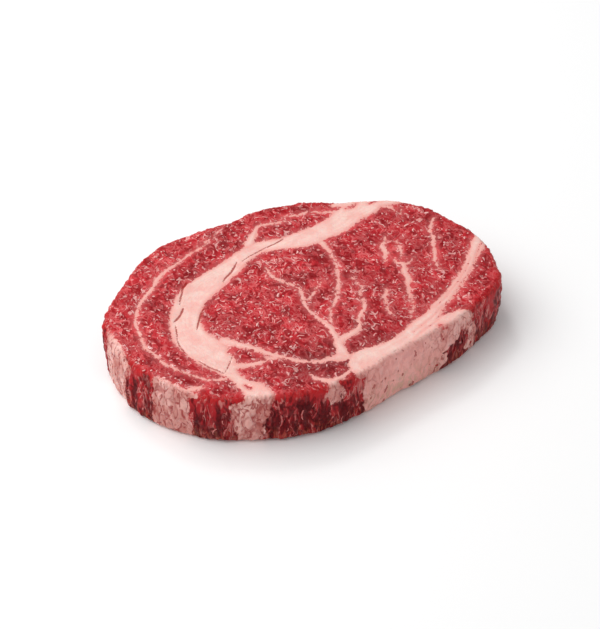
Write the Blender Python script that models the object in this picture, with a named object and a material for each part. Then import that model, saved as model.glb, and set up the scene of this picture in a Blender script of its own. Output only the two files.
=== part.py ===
"""Raw boneless ribeye steak, in metres, +Z up, origin at the middle of the underside.

The steak is one solid. A ball is formed into a thick oval slab: its rings become the stations of
a side section that runs from the middle of the cut face, over a rounded rim, down the side and
back under to a flat underside. A few named pushes turn the oval into the steak's own outline, and
low relief follows the eye of meat, the wide seam of fat round it and the rough side.
"""
import math

import bmesh
import bpy

NAME = "steak"
MM = 0.001

# Overall size
LENGTH = 184.0 * MM
WIDTH = 124.0 * MM
THICKNESS = 28.0 * MM
RIM_TOP = 2.4 * MM
RIM_BOTTOM = 2.2 * MM

# Mesh stations: around the outline, and along the side section
SPOKES = 120
TOP_RINGS = 19
RIM_STEPS = 3
SIDE_STEPS = 5

# Pushes out (+) or in (-) on the oval: compass heading from +X, spread, distance
PUSHES = (
    (-61.0, 21.0, -7.2 * MM),  # long hollow along the front cap of fat
    (-18.0, 6.0, 3.9 * MM),    # right-hand corner
    (11.0, 7.0, -2.7 * MM),    # flat side above that corner
    (48.0, 9.0, -3.2 * MM),    # flat where the wide seam meets the back
    (103.0, 6.0, -2.4 * MM),   # dip in the back
    (135.0, 9.0, 3.8 * MM),    # back left shoulder
    (167.0, 5.0, 2.1 * MM),    # left-hand corner
    (-143.0, 16.0, 1.9 * MM),  # full front left side
    (-113.0, 7.0, 1.0 * MM),   # front corner
)
# The rim leans in over the fuller side below it: heading, spread, distance
RIM_TUCK = (-168.0, 9.0, 3.0 * MM)
SIDE_BELLY = 0.8 * MM

# Ribs down the rough side: how many round the outline, depth, lean as they run down
SIDE_RIBS = (
    (17, 0.18 * MM, 1.3),
    (29, 0.15 * MM, -2.1),
    (46, 0.12 * MM, 3.0),
)

# The eye of meat is an oval, and the wide seam of fat runs round its back and left
EYE_CENTRE = (8.0 * MM, -8.0 * MM)
EYE_HALF = (66.0 * MM, 47.0 * MM)
EYE_RISE = 0.5 * MM
SEAM_HALF_WIDTH = 6.5 * MM
SEAM_DEPTH = 0.7 * MM
SEAM_FROM = 62.0
SEAM_TO = 245.0
SEAM_FADE = 14.0
# Slow waves over the cut face: height, length, direction
FACE_WAVES = (
    (0.25 * MM, 62.0 * MM, 25.0),
    (0.20 * MM, 41.0 * MM, 118.0),
)

BEEF_COLOUR = (0.50, 0.075, 0.072, 1.0)
BEEF_ROUGHNESS = 0.42


def bell(offset, spread):
    """Return a smooth hump that is 1 at no offset and fades over the spread."""
    return math.exp(-0.5 * (offset / spread) ** 2)


def turn_between(heading, other):
    """Return the signed angle in degrees from one heading to another."""
    return (heading - other + 180.0) % 360.0 - 180.0


def outline_radius(heading):
    """Return the outline's distance from the middle: an oval with the named pushes on it."""
    angle = math.radians(heading)
    along = math.cos(angle) / (LENGTH / 2)
    across = math.sin(angle) / (WIDTH / 2)
    radius = 1.0 / math.hypot(along, across)
    for centre, spread, push in PUSHES:
        radius += push * bell(turn_between(heading, centre), spread)
    return radius


def side_relief(heading, height):
    """Return how far the side stands out: a belly, leaning ribs and the tucked-in rim."""
    share = height / THICKNESS
    relief = SIDE_BELLY * math.sin(math.pi * share)
    for ribs, depth, lean in SIDE_RIBS:
        relief += depth * math.sin(ribs * math.radians(heading) + lean * share)
    centre, spread, tuck = RIM_TUCK
    relief -= tuck * share ** 2 * bell(turn_between(heading, centre), spread)
    return relief


def soft_step(value, width):
    """Return a step from 0 to 1 that is spread over the width."""
    return 0.5 + 0.5 * math.tanh(value / width)


def face_relief(x, y):
    """Return the cut face's height over its level: the eye's rise, the seam's dip, slow waves."""
    across = (x - EYE_CENTRE[0]) / EYE_HALF[0]
    up = (y - EYE_CENTRE[1]) / EYE_HALF[1]
    eye = math.hypot(across, up)
    heading = math.degrees(math.atan2(up, across)) % 360.0
    from_edge = (eye - 1.0) * min(EYE_HALF)
    along = soft_step(heading - SEAM_FROM, SEAM_FADE) * soft_step(SEAM_TO - heading, SEAM_FADE)
    relief = EYE_RISE * max(0.0, 1.0 - eye ** 2)
    relief -= SEAM_DEPTH * along * bell(from_edge, SEAM_HALF_WIDTH)
    for height, length, direction in FACE_WAVES:
        run = x * math.cos(math.radians(direction)) + y * math.sin(math.radians(direction))
        relief += height * math.sin(2 * math.pi * run / length)
    return relief


def section_stations():
    """Return the side section's stations from top middle to bottom middle.

    Each is (share of the radius, distance in from the outline, height).
    """
    stations = [(ring / TOP_RINGS, RIM_TOP, THICKNESS) for ring in range(TOP_RINGS + 1)]
    for step in range(1, RIM_STEPS + 1):
        turn = math.radians(90.0 * step / RIM_STEPS)
        inset = RIM_TOP * (1 - math.sin(turn))
        stations.append((1.0, inset, THICKNESS - RIM_TOP * (1 - math.cos(turn))))
    for step in range(1, SIDE_STEPS):
        drop = (THICKNESS - RIM_TOP - RIM_BOTTOM) * step / SIDE_STEPS
        stations.append((1.0, 0.0, THICKNESS - RIM_TOP - drop))
    for step in range(RIM_STEPS + 1):
        turn = math.radians(90.0 * step / RIM_STEPS)
        inset = RIM_BOTTOM * (1 - math.cos(turn))
        stations.append((1.0, inset, RIM_BOTTOM * (1 - math.sin(turn))))
    stations.append((0.0, RIM_BOTTOM, 0.0))
    return stations


def form_slab(mesh):
    """Form a unit ball into the steak: each of its rings takes one station of the section."""
    stations = section_stations()
    bands = len(stations) - 1
    bmesh.ops.create_uvsphere(mesh, u_segments=SPOKES, v_segments=bands, radius=1.0)
    for vert in mesh.verts:
        polar = math.acos(max(-1.0, min(1.0, vert.co.z)))
        share, inset, height = stations[round(polar / math.pi * bands)]
        angle = math.atan2(vert.co.y, vert.co.x)
        heading = math.degrees(angle)
        reach = share * (outline_radius(heading) + side_relief(heading, height) - inset)
        x = reach * math.cos(angle)
        y = reach * math.sin(angle)
        lift = max(0.0, 1.0 - (THICKNESS - height) / RIM_TOP)
        vert.co = (x, y, height + lift * face_relief(x, y))


def fit_to_size(mesh):
    """Stretch and centre the slab so that it measures exactly the overall size."""
    for axis, size, start in ((0, LENGTH, -LENGTH / 2), (1, WIDTH, -WIDTH / 2), (2, THICKNESS, 0.0)):
        places = [vert.co[axis] for vert in mesh.verts]
        low = min(places)
        scale = size / (max(places) - low)
        for vert in mesh.verts:
            vert.co[axis] = start + (vert.co[axis] - low) * scale


def beef_material():
    """Return the plain meat colour."""
    material = bpy.data.materials.new("raw_beef")
    material.use_nodes = True
    shader = material.node_tree.nodes["Principled BSDF"]
    shader.inputs["Base Color"].default_value = BEEF_COLOUR
    shader.inputs["Roughness"].default_value = BEEF_ROUGHNESS
    shader.inputs["Metallic"].default_value = 0.0
    material.diffuse_color = BEEF_COLOUR
    return material


def make_steak(collection):
    """Add the steak to the collection as one closed mesh object."""
    mesh = bmesh.new()
    form_slab(mesh)
    fit_to_size(mesh)
    bmesh.ops.recalc_face_normals(mesh, faces=mesh.faces)
    data = bpy.data.meshes.new(NAME)
    mesh.to_mesh(data)
    mesh.free()
    data.shade_smooth()
    data.materials.append(beef_material())
    steak = bpy.data.objects.new(NAME, data)
    collection.objects.link(steak)
    return steak


def main():
    for old in list(bpy.data.objects):
        bpy.data.objects.remove(old, do_unlink=True)
    collection = bpy.data.collections.new("ribeye_steak")
    bpy.context.scene.collection.children.link(collection)
    make_steak(collection)


main()
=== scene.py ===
"""Raw ribeye steak: finished surfaces, marbling, colours and stage.

The steak's body is one closed surface: two cut faces and a rough side, worked out from an oval
with a few pushes on it. Where fat and lean lie comes from routes across the cut face, each a line
of stations with a half-width. Lengths in the tables are in millimetres, and the mesh is in metres.
"""
import math

import bpy
import numpy as np
from mathutils import Color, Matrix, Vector


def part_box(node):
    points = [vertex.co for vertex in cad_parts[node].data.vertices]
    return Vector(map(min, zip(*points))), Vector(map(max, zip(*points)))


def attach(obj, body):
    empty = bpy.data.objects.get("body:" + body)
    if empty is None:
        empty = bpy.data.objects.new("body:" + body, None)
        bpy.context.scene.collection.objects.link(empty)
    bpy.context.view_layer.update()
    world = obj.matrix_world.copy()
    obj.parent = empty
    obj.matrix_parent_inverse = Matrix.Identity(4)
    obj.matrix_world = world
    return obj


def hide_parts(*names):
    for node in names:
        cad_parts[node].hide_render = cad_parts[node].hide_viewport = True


bl_info = {
    "name": "Raw Ribeye Steak",
    "version": (1, 0, 0),
    "blender": (4, 5, 0),
    "location": "View3D > Sidebar > Steak",
    "description": "Builds a raw ribeye steak with fat seams, marbling and a rough-cut side",
    "category": "Add Mesh",
}

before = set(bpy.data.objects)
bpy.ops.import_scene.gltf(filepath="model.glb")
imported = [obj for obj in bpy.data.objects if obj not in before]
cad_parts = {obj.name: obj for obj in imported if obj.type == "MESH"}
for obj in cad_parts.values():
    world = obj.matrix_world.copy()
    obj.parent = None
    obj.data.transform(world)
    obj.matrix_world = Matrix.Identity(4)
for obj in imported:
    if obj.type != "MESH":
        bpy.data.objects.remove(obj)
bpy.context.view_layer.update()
BOX_LOW, BOX_HIGH = (np.array(corner, float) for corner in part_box("steak"))
MM = 0.001
BODY = "root"

# ---------------------------------------------------------------- outline and side section
# Pushes out (+) or in (-) on the oval: heading in degrees from +X, spread, distance
PUSHES = (
    (-61.0, 21.0, -7.2),
    (-18.0, 6.0, 3.9),
    (11.0, 7.0, -2.7),
    (48.0, 9.0, -3.2),
    (103.0, 6.0, -2.4),
    (135.0, 9.0, 3.8),
    (167.0, 5.0, 2.1),
    (-143.0, 16.0, 1.9),
    (-113.0, 7.0, 1.0),
)
RIM_TUCK = (-168.0, 9.0, 3.0)
SIDE_BELLY = 0.8
# How many ribs go round the side, their depth, and their lean as they run down
SIDE_RIBS = ((17, 0.18, 1.3), (29, 0.15, -2.1), (46, 0.12, 3.0))
# The eye of meat: centre and half-axes, and the seam that runs round it
EYE_CENTRE = (8.0, -8.0)
EYE_HALF = (66.0, 47.0)
EYE_RISE = 0.5
SEAM_HALF_WIDTH = 6.5
SEAM_DEPTH = 0.7
SEAM_TURN = (62.0, 245.0)
SEAM_FADE = 14.0
FACE_WAVES = ((0.25, 62.0, 25.0), (0.20, 41.0, 118.0))

# ---------------------------------------------------------------- fat, lean and cracks
# Each route is a line of stations: x, y, half-width. Wide seams first, then the veins.
FAT_ROUTES = (
    # wide seam, from the back rim round the eye of meat and down to the front rim
    ((58.5, 48.5, 4), (52.5, 42.5, 6), (43, 41, 6.8), (34, 37, 6.8), (24.5, 34.5, 6.3), (14.5, 33, 6.6),
     (4.5, 33.5, 4.8), (-5.5, 35.5, 4.3), (-15, 33, 4.6), (-25, 27.5, 5.6), (-36.5, 22, 7.0),
     (-46.5, 16.5, 7.4), (-53.5, 8, 7.0), (-57, -0.5, 7.2), (-57.5, -10.5, 7.9), (-54, -20.5, 8.2),
     (-51.5, -28, 6.6), (-50.5, -35, 4.0), (-49, -40, 2.9), (-47, -46, 3.9), (-44.5, -50.5, 5.3),
     (-45, -57.5, 7.0)),
    # where the wide seam spreads out along the back rim
    ((38, 50, 1.5), (44, 49, 3.5), (50, 47, 5.0), (57, 44.5, 5.2), (63, 42.5, 4.2), (68, 40.5, 2.2),
     (72, 39, 0.8)),
    # seam between the eye and the front muscle
    ((-46, -17.5, 2.6), (-37, -25, 1.6), (-31, -31.5, 1.4), (-26, -36.5, 1.1), (-21, -41, 1.1),
     (-16.5, -44, 1.0), (-11.5, -45.5, 1.1), (-6.5, -46, 1.7), (-0.5, -47, 3.2)),
    # short link under the lean sliver
    ((-50, -33, 2.4), (-44, -33.5, 1.6), (-38, -35.5, 1.3), (-32, -35, 1.2), (-28, -36, 1.0)),
    # front cap of fat, from the right-hand corner to the front
    ((94.5, 5.5, 2.5), (88.5, -2, 3.6), (83, -8, 3.0), (77, -14.5, 2.6), (69.5, -21.5, 2.6),
     (60.5, -28.5, 2.8), (51.5, -34, 3.0), (44, -39.5, 3.8), (36, -44.5, 4.8), (26.5, -49.5, 5.2),
     (16.5, -52, 6.2), (6.5, -53.5, 7.8), (7.5, -59.5, 8.5)),
    ((22.5, -55.5, 6.0), (34, -50.5, 5.5), (44, -46.5, 5.2), (52, -44.5, 4.6), (58, -44, 4.4),
     (61.5, -44, 3.2)),
    # thin seam through the cap
    ((-27, 48, 0.2), (-34, 45, 0.6), (-40, 43, 0.7), (-47, 39.5, 0.8), (-52.5, 37, 1.0),
     (-57.5, 33.5, 1.2), (-61.5, 29, 1.1), (-67.5, 23.5, 1.1), (-71.5, 19.5, 0.9), (-75, 14, 0.9),
     (-77, 9, 0.8), (-77.5, 3, 0.8), (-78, -2.5, 0.8), (-78, -7.5, 0.9), (-76, -12.5, 0.8),
     (-75, -18.5, 0.8), (-73, -22.5, 0.8), (-70, -27, 0.7), (-66, -31, 0.6), (-61, -36.5, 0.8),
     (-56, -38.5, 0.9), (-51, -38.5, 1.3)),
    # branch at the back
    ((-10.5, 39.5, 2.6), (-7.5, 43, 2.1), (-4.5, 46, 1.4), (-1.5, 49, 0.9), (4.5, 49, 0.8),
     (11.5, 48.5, 0.6)),
    ((11.5, 52, 0.4), (17, 51, 0.6), (24, 50.5, 0.8), (29, 49.5, 0.5)),
    ((29, 48.5, 0.4), (33, 47, 0.7), (37, 45.5, 1.0)),
    ((-33, 47.5, 0.3), (-28, 49, 0.5), (-23, 51, 0.5), (-19.5, 54, 0.3)),
    # fat on the left-hand rim and the front left rim
    ((-94, 14, 2.2), (-92, 7, 3.2), (-91, 0, 3.8), (-91, -6.5, 3.4), (-89.5, -11, 1.6)),
    ((-81.5, -26.5, 1.6), (-80, -29.5, 2.8), (-77.5, -34, 3.2), (-73.5, -39, 3.0), (-70, -42.5, 2.0)),
    ((-73.5, -36.5, 1.2), (-69, -39, 1.3), (-64.5, -39.5, 0.9)),
    # inlet in the front rim
    ((-18.5, -51.5, 0.8), (-17.5, -54.5, 1.0), (-14, -57.5, 1.7), (-11.5, -60.5, 3.0), (-11.5, -65.5, 4.2)),
    ((-10, -58.5, 1.8), (-6, -57.5, 1.2), (-2.5, -55.5, 0.8), (0.5, -54, 1.2)),
    # veins through the eye
    ((-9.5, 21, 0.3), (-9.5, 14, 0.9), (-6, 8, 0.9), (-2.5, 3, 0.9), (-1.5, -0.5, 1.0),
     (-2.5, -6.5, 1.0), (-3, -12.5, 0.8), (-2, -18, 0.8), (-0.5, -23, 1.1), (1, -27, 1.5),
     (0.5, -33, 1.6), (0, -38, 1.9), (-0.5, -44.5, 3.0)),
    ((-1, -7.5, 0.5), (3, -4.5, 0.6), (6, -1.5, 0.5), (10, 1, 0.3)),
    ((21, 26, 2.0), (21.5, 20, 1.1), (21, 14, 0.9), (20.5, 9.5, 0.9), (19, 4.5, 0.8),
     (17.5, 0, 0.9), (14, -6.5, 1.0), (11, -12, 0.9), (8.5, -15, 0.7), (5, -19, 0.5), (2.5, -25, 1.0)),
    ((23.5, -0.5, 0.4), (24, -5.5, 0.6), (25, -9.5, 0.7), (22, -13, 0.7), (21.5, -18, 0.8),
     (20.5, -22, 1.1), (17, -25.5, 1.2), (14.5, -28.5, 0.9), (13.5, -32, 1.2), (10.5, -34.5, 1.6),
     (4.5, -36, 2.0), (0.5, -38, 2.6)),
    ((34.5, -14, 0.3), (33.5, -18, 0.7), (31, -20.5, 0.8), (30.5, -25, 0.6), (29, -28, 0.8),
     (30, -31.5, 0.6)),
    ((51, 19.5, 0.4), (48.5, 16, 0.8), (46, 13.5, 1.4), (46, 10, 1.5), (44.5, 6.5, 1.2),
     (42.5, 3, 0.6)),
    ((47, 3, 0.5), (47, -0.5, 0.8), (49, -2, 1.6), (48, -5.5, 1.4), (47, -9.5, 1.5),
     (47, -12.5, 1.8), (45, -15.5, 1.3), (44, -18.5, 1.0), (42.5, -22, 1.1), (41.5, -25, 0.9),
     (40, -28.5, 0.4)),
    ((55.5, 0.5, 0.3), (52.5, -2, 0.6), (49.5, -2.5, 0.9)),
    ((53.5, 14, 0.4), (53, 9.5, 0.6), (51.5, 5, 0.4), (50, 1.5, 0.3)),
    ((77, 21.5, 0.4), (73.5, 17, 0.8), (71, 13.5, 1.0), (70, 8.5, 1.0), (68, 5, 1.0),
     (67, 0.5, 0.9), (65, -3.5, 0.9), (63.5, -7.5, 0.8), (63.5, -12.5, 0.4)),
    ((59, 39.5, 1.0), (61, 36.5, 0.9), (62.5, 33, 0.4)),
    ((65.5, 34, 0.6), (64, 30.5, 0.5)),
    ((43, -24.5, 0.4), (42, -28, 0.5), (39.5, -32, 0.7), (37, -36, 0.4)),
)
# Lean that shows inside the fat. Where a half-width is negative the fat stays fat, but so thin that
# it turns pink.
LEAN_ROUTES = (
    ((-45.5, -24.5, 1.4), (-41.5, -27.5, 2.6), (-37.5, -31, 2.3), (-33.5, -34, 1.2)),
    ((-47, -46.5, 0.7), (-46, -48.5, 0.9)),
    ((42, 45.5, 0.7), (45, 45.5, 0.8), (48, 46.5, 0.5)),
    ((54, 44, 0.4), (57.5, 44.5, 0.8)),
    # thin pink lines along the front cap
    ((89.5, -2.5, -0.3), (84, -9, -0.2), (78.5, -15.5, -0.2), (70.5, -22.5, -0.1), (61.5, -30, -0.2),
     (52, -35.5, -0.4), (42.5, -41, -0.5), (33, -45.5, -0.7)),
    ((80, -10.5, -0.6), (74, -16.5, -0.3), (66.5, -23.5, -0.5), (57.5, -29.5, -0.3), (49, -34.5, -0.6)),
    ((57, -36, -0.4), (47, -42.5, -0.6), (37, -46.5, -0.5), (28, -51.5, -0.8)),
    ((46, -46, 0.8), (47.5, -48, 0.9), (49.5, -47.5, 0.5)),
)
# Dark splits in the fat
CRACK_ROUTES = (
    ((-46.5, 26, 0.5), (-49, 23.5, 0.5), (-51, 20, 0.35), (-53.5, 16, 0.4), (-54.5, 12.5, 0.15)),
    ((-54, 10.5, 0.4), (-55, 9, 0.45), (-57, 6.5, 0.4), (-59.5, 4.5, 0.45), (-61, 3.5, 0.2)),
    ((-61, 1.5, 0.2), (-62, -3.5, 0.25), (-63.5, -8.5, 0.2), (-64, -14, 0.3), (-63, -18.5, 0.1)),
    ((-60, -24, 0.15), (-56, -31, 0.3), (-53, -35.5, 0.2)),
    ((-20.5, 30, 0.2), (-23, 27, 0.45), (-26, 24, 0.5), (-29.5, 21.5, 0.4), (-31, 19.5, 0.2)),
    ((6, 37, 0.3), (2.5, 35.5, 0.35), (-4.5, 34, 0.3), (-12, 32, 0.25), (-18, 29.5, 0.15)),
    ((-45.5, 6.5, 0.2), (-48, 4, 0.45), (-50, 1, 0.4), (-52, -2, 0.4), (-53.5, -5, 0.15)),
    ((-52, -35, 0.15), (-49, -31.5, 0.25), (-45.5, -27, 0.1)),
)
# Bands of fat down the side: headings where a band starts and ends at the upper rim, the same at
# the foot, and the share of the height where it stops short
SIDE_FAT = (
    (174.0, -172.0, 175.0, -172.5, 0.0),
    (-163.0, -151.0, -162.5, -150.0, 0.0),
    (-139.0, -124.0, -136.5, -129.5, 0.0),
    (-105.5, -97.0, -103.0, -99.5, 0.58),
    (-87.0, -33.0, -87.0, -30.0, 0.0),
    (-2.0, 6.0, 0.5, 4.5, 0.0),
    (29.0, 51.0, 32.0, 47.0, 0.0),
    (76.0, 79.0, 76.5, 78.0, 0.35),
    (109.0, 120.0, 111.0, 117.0, 0.0),
    (142.0, 147.0, 143.0, 145.0, 0.25),
)
# Lean that shows in the side's fat, the same way, with the share of the height it reaches up to
SIDE_LEAN = (
    (-42.5, -34.0, -47.5, -33.0, 0.66),
    (-58.5, -56.5, -59.5, -55.0, 0.10),
    (36.0, 39.0, 35.0, 41.0, 0.34),
)
# Stretch of side where the fat is smooth: heading, spread
SMOOTH_SIDE = (-66.0, 17.0)
# Muscles that are darker or lighter than the eye: x, y, reach, share of the eye's brightness
TONES = (
    (14.0, -51.0, 13.0, 0.70),
    (-8.0, -52.0, 11.0, 0.74),
    (-25.0, -44.0, 10.0, 0.82),
    (82.0, 12.0, 14.0, 0.90),
    (-62.0, 24.0, 9.0, 0.94),
    (-66.0, -22.0, 9.0, 0.90),
    (-84.0, 14.0, 8.0, 1.08),
    (-60.0, 42.0, 9.0, 1.10),
    (-30.0, 55.0, 9.0, 1.06),
    (-30.0, -5.0, 16.0, 1.03),
)
FAR = 9.0
ROUTE_STEPS = 6
# Routes of fat narrower than the first figure lose up to the second from their half-width
VEIN_TRIM = (3.0, 0.12)

# ---------------------------------------------------------------- mesh sizes
FACE_ACROSS = 260
FACE_UP = 180
SIDE_LEVELS = 36
UNDER_RINGS = 24
# Loops of the underside that halve their points, as steps in from the foot, in rings
HALVING_STEPS = (0.3, 0.65)

# ---------------------------------------------------------------- fine relief
# Heights on the cut faces: bundles of fibre, slow lumps, the groove along fat, the splits
BUNDLE_HEIGHT = 0.16
LUMP_HEIGHT = 0.15
GROOVE_DEPTH = 0.20
SPLIT_DEPTH = 0.26
# Lobes down the side, large and small: their cells' size, their height, and the crevices' width as
# a share of a cell
LOBE_SIZE = (4.4, 4.4, 7.0)
LOBE_HEIGHT = 0.50
SMALL_LOBE_SIZE = (2.1, 2.1, 4.2)
SMALL_LOBE_HEIGHT = 0.24
CREVICE_WIDTH = 0.30
# Upright folds down the side
FOLD_SIZE = (1.7, 1.7, 6.0)
FOLD_HEIGHT = 0.26

# ---------------------------------------------------------------- flecks and strands of fat
# Square of lean that gets one fleck, least and greatest length, and half-width
FLECK_GAP = 3.3
FLECK_LENGTHS = (0.9, 3.8)
FLECK_HALF_WIDTHS = (0.36, 0.95)
FLECK_BEND = 1.15
FLECK_HEIGHT = 0.12
FLECK_SINK = 0.06
# How far flecks keep from the fat and from the rim
FLECK_CLEAR = (0.8, 3.4)
# Strands down the lean side: arc and height between them, lengths and half-widths
STRAND_GAP = (3.4, 5.0)
STRAND_LENGTHS = (2.5, 9.0)
STRAND_HALF_WIDTHS = (0.25, 0.75)
STRAND_BEND = 0.9
STRAND_HEIGHT = 0.22
STRAND_CLEAR = 1.0
# A slip's least bend either way, its stations from end to end, and the sides of its section
LEAST_BEND = 0.1
SLIP_STATIONS = 7
SLIP_SIDES = 5

# ---------------------------------------------------------------- flat map of the skin
# Each part's corner on the map's unit square, and how far one metre of steak reaches on it
MAP_FACE = (0.004, 0.420, 4.65)
MAP_UNDER = (0.004, 0.004, 1.20)
# The side's two strips: their corners, and the reach they share
MAP_SIDES = ((0.004, 0.288), (0.004, 0.158))
MAP_SIDE_REACH = 3.98
# Margin round each slip, as a share of its square
MAP_MARGIN = 0.05

# ---------------------------------------------------------------- stage
# Lamps: name, place, width, power
LAMPS = (
    ("key", (-0.70, 0.42, 1.20), 1.4, 16.6),
    ("glint", (0.00, 0.70, 1.05), 0.20, 1.6),
)
WORLD_STRENGTH = 0.50
FLOOR_HALF = 2.5
FLOOR_DROP = 0.0002
LENS = 100.0
SENSOR_WIDTH = 36.0


# ================================================================ arithmetic
def bell(offset, spread):
    """A smooth hump: 1 at no offset, falling as the square of offset over spread."""
    return np.exp(-0.5 * (offset / spread) ** 2)


def ease(value, low, high):
    """A soft step: 0 below low, 1 above high, and a cubic curve between."""
    share = np.clip((value - low) / (high - low), 0.0, 1.0)
    return share * share * (3.0 - 2.0 * share)


def turn_between(heading, other):
    """The signed angle in degrees from one heading to another."""
    return (heading - other + 180.0) % 360.0 - 180.0


def corner_values(cells, seed):
    """One even draw from -1 to 1 for each whole-number cell corner, by mixing its three numbers."""
    mixed = cells[..., 0] * 374761393 + cells[..., 1] * 668265263 + cells[..., 2] * 2246822519
    mixed = (mixed + seed * 3266489917) & 0xFFFFFFFF
    mixed = ((mixed ^ (mixed >> 15)) * 2246822519) & 0xFFFFFFFF
    mixed = ((mixed ^ (mixed >> 13)) * 3266489917) & 0xFFFFFFFF
    return ((mixed ^ (mixed >> 16)) & 0xFFFFFF) / float(0x7FFFFF) - 1.0


def lumps(points, size, seed):
    """Smooth random height from -1 to 1: corner draws on a lattice of the given cell size, blended
    along each axis with a fifth-power curve."""
    scaled = points / np.asarray(size, float)
    base = np.floor(scaled).astype(np.int64)
    part = scaled - base
    part = part ** 3 * (part * (part * 6 - 15) + 10)
    total = 0.0
    for corner in np.ndindex(2, 2, 2):
        step = np.array(corner)
        weight = np.prod(np.where(step, part, 1 - part), axis=-1)
        total = total + weight * corner_values(base + step, seed)
    return total


def grained(points, size, seed, octaves=3):
    """Lumps of several sizes added up, each half the size and half the height of the one before."""
    total = 0.0
    for octave in range(octaves):
        total = total + lumps(points, np.asarray(size, float) / 2 ** octave, seed + 31 * octave) / 2 ** octave
    return total


def pebbles(points, size, seed):
    """Distances to the nearest and the second nearest of one jittered seed in each lattice cell."""
    scaled = points / np.asarray(size, float)
    base = np.floor(scaled).astype(np.int64)
    nearest = np.full(points.shape[:-1], 9.0)
    second = nearest.copy()
    for corner in np.ndindex(3, 3, 3):
        cell = base + np.array(corner) - 1
        spot = cell + 0.5 + 0.42 * np.stack([corner_values(cell, seed + k) for k in range(3)], -1)
        away = np.linalg.norm(spot - scaled, axis=-1)
        second = np.minimum(second, np.maximum(nearest, away))
        nearest = np.minimum(nearest, away)
    return nearest, second


def smooth_route(stations):
    """Points on a smooth curve through the stations: each span is a cubic whose slope at a station
    is half the step between its neighbours."""
    ends = np.asarray(stations, float)
    padded = np.vstack([2 * ends[0] - ends[1], ends, 2 * ends[-1] - ends[-2]])
    share = np.linspace(0, 1, ROUTE_STEPS, endpoint=False)[None, :, None]
    before, start, stop, after = (padded[k:len(padded) - 3 + k, None, :] for k in range(4))
    curve = 0.5 * (2 * start + (stop - before) * share
                   + (2 * before - 5 * start + 4 * stop - after) * share ** 2
                   + (3 * start - before - 3 * stop + after) * share ** 3)
    return np.vstack([curve.reshape(-1, 3), ends[-1]])


def route_depth(plan, routes):
    """How deep each plan point lies inside the nearest route, in mm: half-width less distance,
    taken over every straight piece of every route, and negative outside."""
    depth = np.full(len(plan), -FAR)
    for stations in routes:
        line = smooth_route(stations)
        reach = FAR + line[:, 2].max()
        low = line[:, :2].min(0) - reach
        high = line[:, :2].max(0) + reach
        near = np.nonzero(((plan > low) & (plan < high)).all(1))[0]
        spots = plan[near]
        best = np.full(len(near), -FAR)
        for start, stop in zip(line[:-1], line[1:]):
            step = stop[:2] - start[:2]
            along = np.clip(((spots - start[:2]) @ step) / max(step @ step, 1e-9), 0, 1)
            away = np.linalg.norm(spots - start[:2] - along[:, None] * step, axis=1)
            best = np.maximum(best, start[2] + along * (stop[2] - start[2]) - away)
        depth[near] = np.maximum(depth[near], best)
    return depth


# ================================================================ the steak's form
def outline_radius(heading):
    """Distance of the outline from the middle in mm: an oval, with the named pushes on it."""
    half = (BOX_HIGH - BOX_LOW)[:2] / 2 / MM
    angle = np.radians(heading)
    radius = 1.0 / np.hypot(np.cos(angle) / half[0], np.sin(angle) / half[1])
    for centre, spread, push in PUSHES:
        radius = radius + push * bell(turn_between(heading, centre), spread)
    return radius


def side_swell(heading, share):
    """How far the side stands out in mm at a share of the height: belly, leaning ribs, tucked rim."""
    swell = SIDE_BELLY * np.sin(np.pi * share)
    for ribs, depth, lean in SIDE_RIBS:
        swell = swell + depth * np.sin(ribs * np.radians(heading) + lean * share)
    centre, spread, tuck = RIM_TUCK
    return swell - tuck * share ** 2 * bell(turn_between(heading, centre), spread)


def face_swell(x, y):
    """Height of the cut face over its level in mm: the eye rises, the wide seam dips, slow waves."""
    across = (x - EYE_CENTRE[0]) / EYE_HALF[0]
    up = (y - EYE_CENTRE[1]) / EYE_HALF[1]
    eye = np.hypot(across, up)
    heading = np.degrees(np.arctan2(up, across)) % 360.0
    along = 0.25 * (1 + np.tanh((heading - SEAM_TURN[0]) / SEAM_FADE))
    along = along * (1 + np.tanh((SEAM_TURN[1] - heading) / SEAM_FADE))
    swell = EYE_RISE * np.maximum(0.0, 1 - eye ** 2)
    swell = swell - SEAM_DEPTH * along * bell((eye - 1) * min(EYE_HALF), SEAM_HALF_WIDTH)
    for height, length, direction in FACE_WAVES:
        turn = math.radians(direction)
        swell = swell + height * np.sin(2 * np.pi * (x * math.cos(turn) + y * math.sin(turn)) / length)
    return swell


def square_to_disc(across, up):
    """Heading in degrees and share of the radius for a point of a square: squares round the middle
    become rings, and the sides of each square are spread evenly over its ring."""
    share = np.maximum(np.abs(across), np.abs(up))
    wide = np.abs(across) >= np.abs(up)
    safe_across = np.where(wide, np.where(across == 0, 1.0, across), 1.0)
    safe_up = np.where(wide, 1.0, up)
    heading = np.where(wide, 45 * up / safe_across + 180 * (across < 0),
                       90 - 45 * across / safe_up + 180 * (up < 0))
    return heading, share


class Shell:
    """The body while it is made. Each point has a heading, a share of the radius, an inset from the
    outline, a height and a lean. Each block of faces has its part of the flat map and, down the
    side, its corners' columns round the outline and rows down the section."""

    def __init__(self, shape):
        self.shape = shape
        self.parts = []
        self.faces = []
        self.laid = []
        self.count = 0

    def add(self, heading, share, inset, height, lean):
        """Add points; return their numbers. lean is the section's outward tilt in degrees: 90 on
        the upper face, 0 on the side and -90 underneath."""
        block = np.broadcast_arrays(*(np.asarray(v, float) for v in (heading, share, inset, height, lean)))
        block = [part.ravel() for part in block]
        self.parts.append(np.stack(block, 1))
        numbers = np.arange(self.count, self.count + len(block[0]))
        self.count += len(block[0])
        return numbers

    def lay(self, area, corners, columns=None, rows=None):
        """Add faces of one part of the map, given as one array of numbers for each corner."""
        corners = np.stack([np.broadcast_to(part, corners[0].shape).ravel() for part in corners], 1)
        self.faces += corners.tolist()
        self.laid.append((area, corners, columns, rows))


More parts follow.
